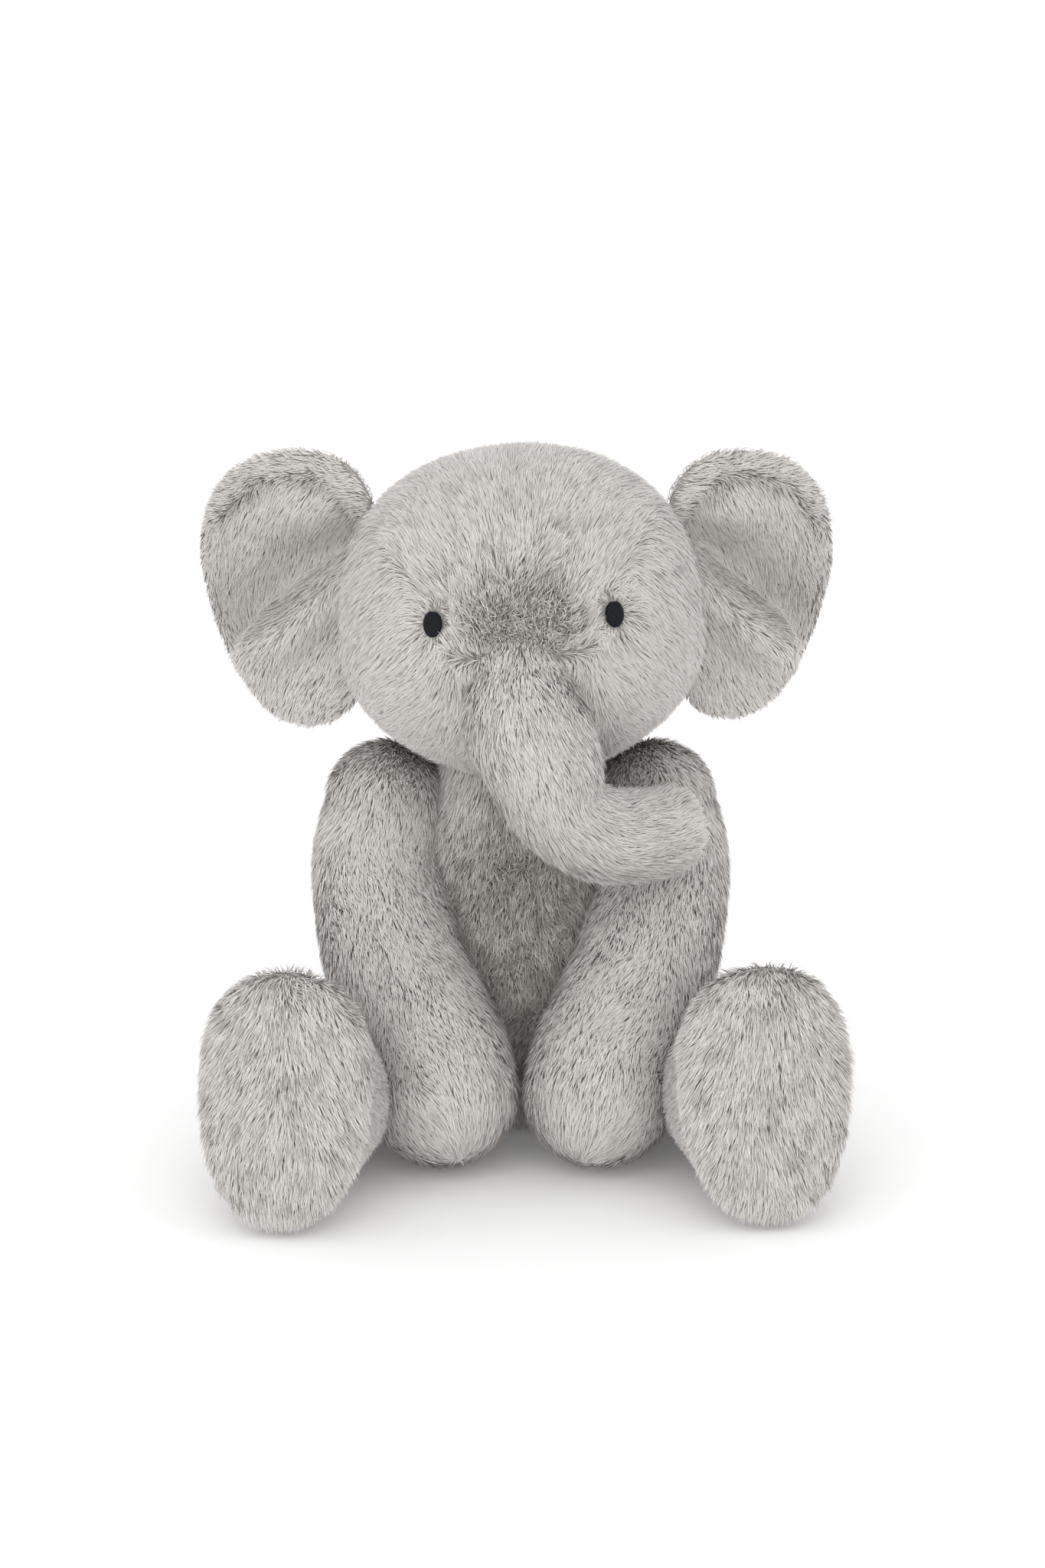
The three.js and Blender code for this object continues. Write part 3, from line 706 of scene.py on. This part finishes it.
PILE_COLOURS = [  # along a strand, from the root to the tip
    (0.0, (0.07, 0.065, 0.058)), (0.28, (0.32, 0.305, 0.287)), (0.5, (0.58, 0.558, 0.532)),
    (0.8, (0.74, 0.715, 0.686)), (1.0, (0.82, 0.794, 0.766)),
]
PILE_TINTS = [  # from the darkest strands to the lightest
    (0.0, (0.40, 0.385, 0.36)), (0.5, (0.93, 0.925, 0.92)), (1.0, (1.0, 1.0, 1.0)),
]


def fur_material():
    """V of the strands' UV map runs along the strand, and U is the strand's tint."""
    material, nodes, links, shader = principled("faux_fur", 0.8, sheen=0.25, specular=0.2)
    uv = nodes.new("ShaderNodeUVMap")
    uv.uv_map = "OFBake"
    split = nodes.new("ShaderNodeSeparateXYZ")
    links.new(uv.outputs["UV"], split.inputs[0])
    length = ramp(nodes, PILE_COLOURS)
    links.new(split.outputs["Y"], length.inputs["Fac"])
    tint = ramp(nodes, PILE_TINTS)
    links.new(split.outputs["X"], tint.inputs["Fac"])
    mix = nodes.new("ShaderNodeMix")
    mix.data_type = "RGBA"
    mix.blend_type = "MULTIPLY"
    mix.inputs["Factor"].default_value = 1.0
    links.new(length.outputs["Color"], mix.inputs["A"])
    links.new(tint.outputs["Color"], mix.inputs["B"])
    links.new(mix.outputs["Result"], shader.inputs["Base Color"])
    return material


def noise(nodes, links, scale, detail=4.0):
    """A noise texture fixed to the object."""
    place = nodes.new("ShaderNodeTexCoord")
    texture = nodes.new("ShaderNodeTexNoise")
    texture.inputs["Scale"].default_value = scale
    texture.inputs["Detail"].default_value = detail
    links.new(place.outputs["Object"], texture.inputs["Vector"])
    return texture


def cloth_material(name, dark, light, scale, roughness=0.9, bump=0.4, sheen=0.2):
    """Two mottled colours with fine bumps; the scale is about how many bumps there are to the metre."""
    material, nodes, links, shader = principled(name, roughness, sheen=sheen, specular=0.2)
    texture = noise(nodes, links, scale)
    colours = ramp(nodes, [(0.3, dark), (0.7, light)])
    links.new(texture.outputs["Fac"], colours.inputs["Fac"])
    links.new(colours.outputs["Color"], shader.inputs["Base Color"])
    height = nodes.new("ShaderNodeBump")
    height.inputs["Strength"].default_value = bump
    height.inputs["Distance"].default_value = 0.0005
    links.new(texture.outputs["Fac"], height.inputs["Height"])
    links.new(height.outputs["Normal"], shader.inputs["Normal"])
    return material


def plain_material(name, colour, roughness, sheen=0.0):
    """One even colour."""
    material, _, _, shader = principled(name, roughness, sheen=sheen)
    shader.inputs["Base Color"].default_value = (*colour, 1)
    return material


FUR = fur_material()
BACKING = cloth_material("fur_backing", (0.26, 0.248, 0.232), (0.40, 0.382, 0.36), 900)
STUFFING = cloth_material("polyester_stuffing", (0.78, 0.77, 0.74), (0.93, 0.92, 0.9), 160)
BEANS = cloth_material("bean_bag_cloth", (0.62, 0.58, 0.52), (0.75, 0.71, 0.65), 420)
THREAD = cloth_material("eye_thread", (0.004, 0.005, 0.007), (0.010, 0.011, 0.016), 1400, 0.65, 0.2, 0.0)
LABEL = cloth_material("woven_label", (0.8, 0.8, 0.78), (0.9, 0.9, 0.88), 1600, 0.6, 0.15)


# ---- the pieces ---------------------------------------------------------------------------

def backing(name, at, body, fill=0.85, depth=BACKING_DEPTH, **grid):
    """The stuffed cloth that the pile grows from."""
    piece = shell_mesh(name, at, depth, BACKING, **grid)
    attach(piece, body)


def place_fur(pieces, body, node):
    """Puts a panel's pile on its body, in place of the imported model's panel."""
    for piece in pieces:
        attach(piece, body)
        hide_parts(node)


def inside_head(p, margin):
    """Whether points lie deeper than the margin inside the head."""
    return np.linalg.norm(in_head_frame(p) / (HEAD_SIZE - margin), axis=1) < 1


def inside_torso(p, margin):
    """Whether points lie deeper than the margin inside the torso."""
    profile = np.array(TORSO_PROFILE)
    radius = np.interp(p[:, 2], profile[2:, 1], profile[2:, 0]) - margin
    reach = np.hypot(p[:, 0], p[:, 1] / TORSO_DEPTH)
    return (reach < radius) & (p[:, 2] > margin) & (p[:, 2] < profile[-1, 1] - margin)


def make_head():
    """The head: its backing, and the pile of the gusset and the two cheeks."""
    backing("head_backing", head_surface, "head")
    s = scatter(head_surface, BACKING_DEPTH, DENSITY, PLACE_SEED["head"])
    s["trim"] = np.ones(len(s["v"]))
    for side in EYES:  # no pile on the eyes, and short pile round them
        centre, normal = eye_point(side)
        away = s["point"] - centre
        up = unit(np.array([0, 0, 1.0]) - normal * normal[2])
        right = np.cross(normal, up)
        reach = np.hypot(away @ right / EYE_HALF[0], away @ up / EYE_HALF[1])
        reach = reach + 10 * (away @ normal < -20)  # the far side of the head is out of reach
        s["trim"] = s["trim"] * (0.4 + 0.6 * smooth((reach - 0.8) / 1.2))
        s = keep(s, reach > 0.95)
    p = s["point"]
    q = in_head_frame(p)
    gusset = gusset_share(p) > 0.5
    patch = bridge(p)
    seam = bell((np.abs(q[:, 0]) - gusset_half(q[:, 2])) / SEAM_SPREAD) * (q[:, 2] > 16) * (q[:, 1] < 30)
    spots = cowlicks(p, COWLICK_SIZE, COWLICK_SEED["head"]) * (0.45 + 0.55 * gusset)
    brow = bell((q[:, 2] - BROW_HEIGHT) / BROW_SPREAD[1]) * bell(q[:, 0] / BROW_SPREAD[0]) * (q[:, 1] < 0)
    s["ruffle"] = np.clip(patch * 1.1 + spots * 0.3 + brow * 0.2, 0, 1)
    s["shade"] = np.clip(patch * 1.3 + seam * 0.1 + spots * 0.3 + brow * 0.5, 0, 1)
    # darker on the ruffled patch and the brow line; the cheeks are coloured lighter, as painted light
    s["dim"] = 0.14 * patch + 0.12 * brow - PAINTED_LIGHT["cheek"] * ~gusset
    groups = {
        "head_gusset": gusset,
        "left_cheek_panel": ~gusset & (q[:, 0] >= 0),
        "right_cheek_panel": ~gusset & (q[:, 0] < 0),
    }
    for k, (node, mask) in enumerate(groups.items()):
        pieces = fur(node.replace("_panel", "") + "_fur", keep(s, mask), head_nap, PILE_SEED["head"] + 10 * k)
        place_fur(pieces, "head", node)


def make_torso():
    """The torso: its backing, and the pile of the front, the back and the seat."""
    backing("torso_backing", torso_surface, "torso")
    s = scatter(torso_surface, BACKING_DEPTH, DENSITY, PLACE_SEED["torso"])
    s = keep(s, ~inside_head(s["point"], HIDDEN_DEPTH["torso"]))
    spots = cowlicks(s["point"], COWLICK_SIZE, COWLICK_SEED["torso"])
    forward, height = -s["point"][:, 1], s["point"][:, 2]
    # painted shade: the belly and chest, lying back behind the arms and under the head, get darker roots and
    # a dimmer tint; their pile is also ruffled
    belly_ruffle_and_painted_shade = rising(forward, 20, 40) * falling(height, 125, 185)
    s["ruffle"] = np.clip(spots * 0.4 + belly_ruffle_and_painted_shade * 0.5, 0, 1)
    s["shade"] = spots * 0.3 + belly_ruffle_and_painted_shade * 0.7
    s["dim"] = belly_ruffle_and_painted_shade * 0.25
    seat = height < SEAT_TOP
    front = ~seat & (forward > 0)
    groups = {"torso_front_panel": front, "torso_back_panel": ~seat & ~front, "seat_panel": seat}
    for k, (node, mask) in enumerate(groups.items()):
        length = SEAT_PILE if node == "seat_panel" else PILE_LENGTH
        name = node.replace("_panel", "") + "_fur"
        pieces = fur(name, keep(s, mask), torso_nap, PILE_SEED["torso"] + 10 * k, length)
        place_fur(pieces, "torso", node)


def make_trunk():
    """The trunk: its backing and its pile, darker near its root."""
    at = limb_surface(TRUNK, (0, 1, 0), TRUNK[0][1], TRUNK_TIP)
    backing("trunk_backing", at, "trunk")
    s = scatter(at, BACKING_DEPTH, DENSITY, PLACE_SEED["trunk"])
    s = keep(s, ~inside_head(s["point"], HIDDEN_DEPTH["trunk"]))
    top = rising(s["point"][:, 2], 226, 240)
    spots = cowlicks(s["point"], COWLICK_SIZE, COWLICK_SEED["trunk"])
    s["ruffle"], s["shade"] = top * 0.35 + spots * 0.25, top * 0.65 + spots * 0.2
    place_fur(fur("trunk_fur", s, limb_nap, PILE_SEED["trunk"]), "trunk", "trunk_skin")


def make_ear(side):
    """One ear: its backing, and the pile of its front and its back."""
    at = ear_surface(side)
    body = f"{side}_ear"
    backing(f"{side}_ear_backing", at, body, fill=0.3)
    s = scatter(at, BACKING_DEPTH, DENSITY, PLACE_SEED["ear"] + (side == "right"))
    height = s["point"][:, 2]
    seam = bell((s["v"] - EAR_SEAM_V) / 0.025) * rising(height, EAR_SEAM_START, EAR_SEAM_START + 10)
    spots = cowlicks(s["point"], COWLICK_SIZE, COWLICK_SEED["ear"])
    s["ruffle"], s["shade"] = seam * 0.4 + spots * 0.2, seam * 0.9 + spots * 0.25
    s["trim"] = 1 - 0.45 * bell((s["v"] - 0.5) / 0.13)
    # painted light: the ear's pile is coloured lighter all over
    s["dim"] = np.full(len(s["v"]), -PAINTED_LIGHT["ear"])
    for k, (face, mask) in enumerate({"front": s["v"] <= 0.5, "back": s["v"] > 0.5}.items()):
        seed = PILE_SEED["ear"] + 10 * k
        pieces = fur(f"{side}_ear_{face}_fur", keep(s, mask), ear_nap(side), seed, EAR_PILE)
        place_fur(pieces, body, f"{side}_ear_{face}")


def make_arm(side):
    """One arm: its backing and its pile, with the dark whorl at the shoulder."""
    at = arm_surface(side)
    body = f"{side}_arm"
    backing(f"{side}_arm_backing", at, body)
    s = scatter(at, BACKING_DEPTH, DENSITY, PLACE_SEED["arm"] + (side == "right"))
    s = keep(s, ~inside_torso(s["point"], HIDDEN_DEPTH["limb"]))
    whorl = SHOULDER_WHORL * np.array([SIDES[side], 1, 1])
    whorl = bell(np.linalg.norm((s["point"] - whorl) / WHORL_SIZE, axis=1))
    spots = cowlicks(s["point"], COWLICK_SIZE, COWLICK_SEED["arm"])
    s["ruffle"] = np.clip(whorl * 0.5 + spots * 0.2, 0, 1)
    s["shade"] = whorl * 0.9 + spots * 0.25
    # painted light: the arm's pile is coloured lighter all over
    s["dim"] = np.full(len(s["v"]), -PAINTED_LIGHT["arm"])
    place_fur(fur(f"{side}_arm_fur", s, limb_nap, PILE_SEED["arm"]), body, f"{side}_arm_skin")


def make_leg(side):
    """One leg: its backing, the pile of the leg, and the pile of its sole."""
    at = leg_surface(side)
    body = f"{side}_leg"
    backing(f"{side}_leg_backing", at, body)
    s = scatter(at, BACKING_DEPTH, DENSITY, PLACE_SEED["leg"] + (side == "right"))
    s = keep(s, ~inside_torso(s["point"], HIDDEN_DEPTH["limb"]))
    s["outwards"] = unit(s["point"] - FEET[side] * np.array([SIDES[side], 1, 1]))
    rim = s["v"] - SOLE_V
    top = bell(rim / 0.04) * rising(s["point"][:, 2], 70, 100)
    spots = cowlicks(s["point"], COWLICK_SIZE, COWLICK_SEED["leg"])
    s["ruffle"], s["shade"] = top * 0.12 + spots * 0.25, top * 0.5 + spots * 0.25
    s["trim"] = 1 - 0.3 * bell(rim / 0.03)
    sole = rim > 0
    # painted shade: the soles' pile is coloured darker, as they stand low by the floor
    s["dim"] = 0.12 * sole
    leg_fur = fur(f"{side}_leg_fur", keep(s, ~sole), leg_nap, PILE_SEED["leg"])
    sole_fur = fur(f"{side}_sole_fur", keep(s, sole), sole_nap, PILE_SEED["sole"])
    place_fur(leg_fur, body, f"{side}_leg_skin")
    place_fur(sole_fur, body, f"{side}_sole_panel")


def make_tail():
    """The tail: its backing and its pile."""
    at = limb_surface(TAIL, (1, 0, 0), *TAIL_DOMES)
    backing("tail_backing", at, "tail", fill=0.5, depth=TAIL_BACKING_DEPTH, around=24, along=24)
    s = scatter(at, TAIL_BACKING_DEPTH, DENSITY * 1.3, PLACE_SEED["tail"])
    place_fur(fur("tail_fur", s, limb_nap, PILE_SEED["tail"], TAIL_PILE), "tail", "tail")


def make_eye(side):
    """Satin stitch: threads side by side across an oval, each one bowed over the padding."""
    centre, normal = eye_point(side)
    up = unit(np.array([0, 0, 1.0]) - normal * normal[2])
    right = np.cross(up, normal)
    steps, sides = THREAD_STEPS, THREAD_SIDES
    rows = int(2 * EYE_HALF[1] / THREAD_PITCH)
    vertices, faces = [], []
    for k in range(rows):
        h = -EYE_HALF[1] + (k + 0.5) * THREAD_PITCH
        half = EYE_HALF[0] * math.sqrt(max(0, 1 - (h / EYE_HALF[1]) ** 2))
        if half < 0.5:
            continue
        for i in range(steps + 1):
            t = -1 + 2 * i / steps
            x = half * t
            spread = min(1, (x / PADDING_HALF[0]) ** 2 + (h / PADDING_HALF[1]) ** 2)
            fall = PADDING_HEIGHT * (1 - math.sqrt(max(0, 1 - spread)))
            sunk = 1.2 * abs(t) ** 6  # the thread's ends go down into the cloth
            wander = 0.08 * math.sin(9 * t + k)
            middle = centre + right * x + up * (h + wander) + normal * (0.4 - fall - sunk)
            for j in range(sides):
                a = 2 * math.pi * j / sides
                vertices.append(middle + (up * math.cos(a) + normal * math.sin(a)) * THREAD_RADIUS)
        base = len(vertices) - (steps + 1) * sides
        for i in range(steps):
            for j in range(sides):
                a, b = base + i * sides + j, base + i * sides + (j + 1) % sides
                faces.append((a, b, b + sides))
                faces.append((a, b + sides, a + sides))
        for ring, order in ((base, -1), (base + steps * sides, 1)):  # the thread's two ends
            for j in range(1, sides - 1):
                faces.append((ring, ring + j, ring + j + 1)[::order])
    piece = new_object(f"{side}_eye_stitching", np.array(vertices), np.array(faces), THREAD)
    turn_outwards(piece)
    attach(piece, "head")
    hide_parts(f"{side}_eye")


def finish_shown_nodes():
    """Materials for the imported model's own pieces that stay: the stuffing, the bean bags and the label."""
    materials = {"stuffing": STUFFING, "bean_bag": BEANS, "care_label": LABEL}
    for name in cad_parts:
        node = bpy.data.objects.get(name)
        for ending, material in materials.items():
            if node and name.endswith(ending):
                for slot in node.material_slots:
                    slot.material = material


# ---- the room -----------------------------------------------------------------------------

def make_room():
    """A pale floor in a white room, lit softly from the front."""
    mesh = bpy.data.meshes.new("floor")
    corners = [(-1, -1), (1, -1), (1, 1), (-1, 1)]
    mesh.from_pydata([(x * FLOOR_HALF, y * FLOOR_HALF, 0) for x, y in corners], [], [(0, 1, 2, 3)])
    floor = bpy.data.objects.new("floor", mesh)
    bpy.context.scene.collection.objects.link(floor)
    pale = plain_material("pale_floor", (0.95, 0.95, 0.95), 0.9)
    shader = pale.node_tree.nodes["Principled BSDF"]
    shader.inputs["Emission Color"].default_value = (1, 1, 1, 1)
    shader.inputs["Emission Strength"].default_value = 0.07
    mesh.materials.append(pale)
    world = bpy.data.worlds.new("studio")
    bpy.context.scene.world = world
    world.use_nodes = True
    world.node_tree.nodes["Background"].inputs["Color"].default_value = (1, 1, 1, 1)
    world.node_tree.nodes["Background"].inputs["Strength"].default_value = 1.0
    sun("key", LAMP_TOWARDS, LAMP_STRENGTH, LAMP_SPREAD)


def sun(name, towards, strength, spread):
    """A broad, soft lamp that shines from the given direction."""
    data = bpy.data.lights.new(name, "SUN")
    data.energy = strength
    data.angle = math.radians(spread)
    light = bpy.data.objects.new(name, data)
    bpy.context.scene.collection.objects.link(light)
    light.rotation_euler = Vector(towards).to_track_quat("Z", "Y").to_euler()


def make_camera():
    """The camera that stands where the photo was taken from."""
    data = bpy.data.cameras.new("camera")
    data.sensor_fit = "HORIZONTAL"
    data.sensor_width = 36
    data.lens = CAMERA_LENS
    camera = bpy.data.objects.new("camera", data)
    bpy.context.scene.collection.objects.link(camera)
    up = Vector((0, math.sin(CAMERA_ELEVATION), math.cos(CAMERA_ELEVATION)))
    away = Vector((0, -math.cos(CAMERA_ELEVATION), math.sin(CAMERA_ELEVATION)))
    camera.location = CAMERA_AIM + up * CAMERA_RAISE + away * CAMERA_DISTANCE
    camera.rotation_euler = (-away).to_track_quat("-Z", "Y").to_euler()
    bpy.context.scene.camera = camera


make_camera()
make_room()
make_head()
make_torso()
make_trunk()
for side_name in SIDES:
    make_ear(side_name)
    make_arm(side_name)
    make_leg(side_name)
    make_eye(side_name)
make_tail()
finish_shown_nodes()
bpy.context.scene.view_settings.view_transform = "Standard"
